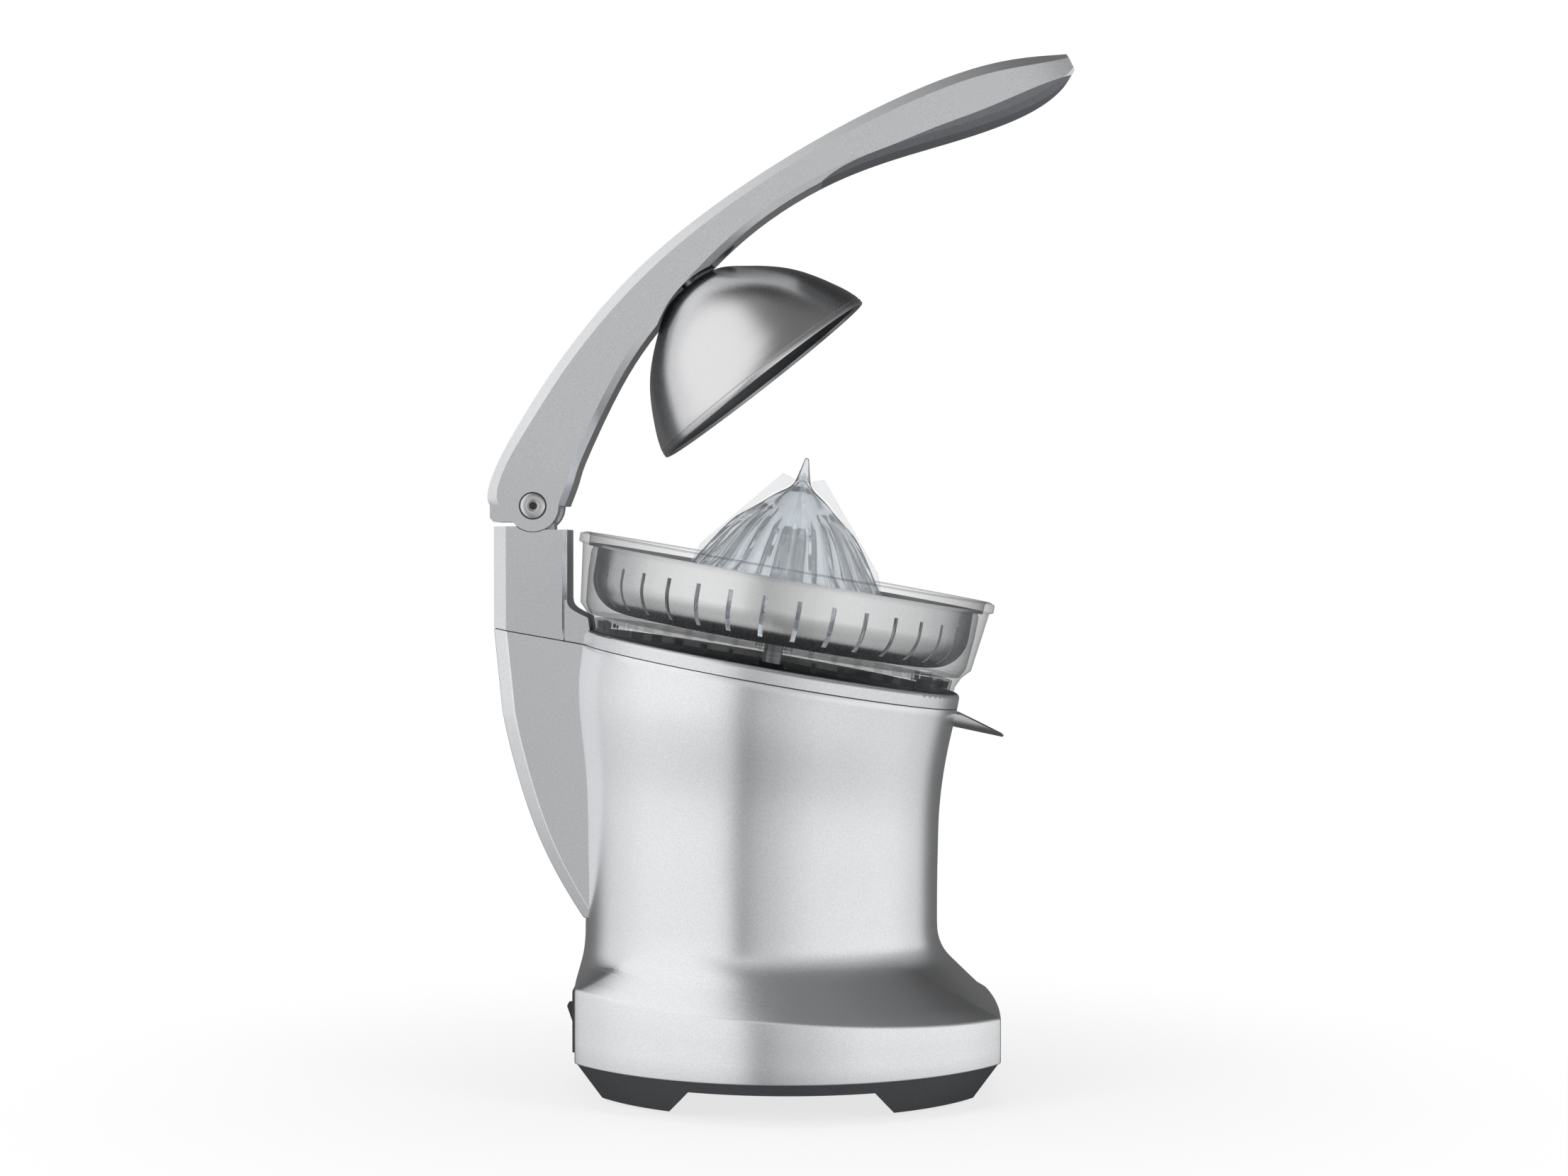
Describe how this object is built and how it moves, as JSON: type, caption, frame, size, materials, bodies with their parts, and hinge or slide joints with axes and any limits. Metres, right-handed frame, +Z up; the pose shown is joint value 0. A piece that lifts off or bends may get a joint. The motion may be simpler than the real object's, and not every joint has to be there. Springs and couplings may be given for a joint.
{
  "type": "citrus press juicer",
  "caption": "Countertop citrus press juicer with a hinged lever arm, a tilting dome, a ribbed reaming cone over a slotted basket, a clear bowl and a spout.",
  "frame": {"origin": "on the counter, at the bottom centre of the whole press at rest", "axes": "+X to the front, where the spout is; +Y to the left seen from the back; +Z up"},
  "size_m": [0.2443, 0.1768, 0.4327],
  "materials": {
    "silver_paint": "fine metallic silver lacquer",
    "satin_metal": "satin metallic silver",
    "clear_plastic": "clear moulded plastic",
    "blue_clear": "clear plastic with a blue cast",
    "steel": "brushed sheet steel",
    "polished_steel": "polished pressed steel",
    "dark_plastic": "dark grey moulded plastic",
    "grip_rubber": "soft dark grey grip",
    "rubber": "black rubber",
    "nylon": "natural nylon",
    "brass": "turned sintered bronze",
    "core": "laminated core",
    "zinc": "zinc plated steel"
  },
  "bodies": {
    "base": {"housing": "satin_metal", "collar": "silver_paint", "base_pan": "dark_plastic", "foot_pads": "rubber", "hinge_bush": "brass", "spindle_bushes": "brass", "shaft_seal": "rubber", "gear_plate": "zinc", "gearbox_cover": "nylon", "gearbox_screws": "zinc", "idler_pin": "zinc", "motor_can": "zinc", "motor_cap": "zinc", "stator": "core", "spout": "steel", "switch_bezel": "dark_plastic", "cord_gland": "rubber"},
    "arm": {"arm": "silver_paint", "grip": "grip_rubber", "dome_yoke": "dark_plastic", "ball_stud": "zinc", "pivot_pin": "zinc", "pivot_nut": "zinc", "friction_washers": "nylon"},
    "dome_ball": {"dome_ball": "zinc"},
    "dome": {"dome": "polished_steel", "dome_liner": "dark_plastic", "dome_socket": "dark_plastic"},
    "spindle": {"spindle": "zinc", "output_gear": "nylon"},
    "idler": {"idler_gear": "nylon"},
    "rotor": {"rotor": "core", "motor_pinion": "zinc"},
    "bowl": {"bowl": "clear_plastic"},
    "basket": {"basket": "steel"},
    "cone": {"cone": "blue_clear"},
    "rocker": {"rocker": "dark_plastic"}
  },
  "joints": [
    {"name": "arm_hinge", "type": "hinge", "parent": "base", "child": "arm", "pos_m": [-0.1041, 0, 0.2445], "axis": [0, 1, 0], "range_deg": [0, 35]},
    {"name": "dome_pitch", "type": "hinge", "parent": "arm", "child": "dome_ball", "pos_m": [-0.03504, 0, 0.33153], "axis": [0, 1, 0], "range_deg": [-5, 5]},
    {"name": "dome_roll", "type": "hinge", "parent": "dome_ball", "child": "dome", "pos_m": [-0.03504, 0, 0.33153], "axis": [0.7869, 0, 0.617], "range_deg": [-5, 5]},
    {"name": "spindle_spin", "type": "hinge", "parent": "base", "child": "spindle", "pos_m": [-0.00698, 0, 0.16976], "axis": [0.1736, 0, 0.9848], "continuous": true},
    {"name": "idler_spin", "type": "hinge", "parent": "base", "child": "idler", "pos_m": [0.01183, 0.02991, 0.14613], "axis": [0.1736, 0, 0.9848], "continuous": true},
    {"name": "rotor_spin", "type": "hinge", "parent": "base", "child": "rotor", "pos_m": [0.00895, 0, 0.11618], "axis": [0.1736, 0, 0.9848], "continuous": true},
    {"name": "bowl_lift", "type": "slide", "parent": "base", "child": "bowl", "axis": [-0.1736, 0, -0.9848], "range_m": [-0.02, 0]},
    {"name": "basket_lift", "type": "slide", "parent": "bowl", "child": "basket", "axis": [-0.1736, 0, -0.9848], "range_m": [-0.014, 0]},
    {"name": "cone_spin", "type": "hinge", "parent": "basket", "child": "cone", "pos_m": [0.0017, 0, 0.219], "axis": [0.1736, 0, 0.9848], "continuous": true},
    {"name": "rocker_tilt", "type": "hinge", "parent": "base", "child": "rocker", "pos_m": [-0.084, 0, 0.0285], "axis": [0, 1, 0], "range_deg": [0, 12]}
  ],
  "couplings": [
    {"joint": "spindle_spin", "follows": "rotor_spin", "ratio": 0.083333},
    {"joint": "idler_spin", "follows": "rotor_spin", "ratio": -0.33333},
    {"joint": "cone_spin", "follows": "rotor_spin", "ratio": 0.083333}
  ]
}
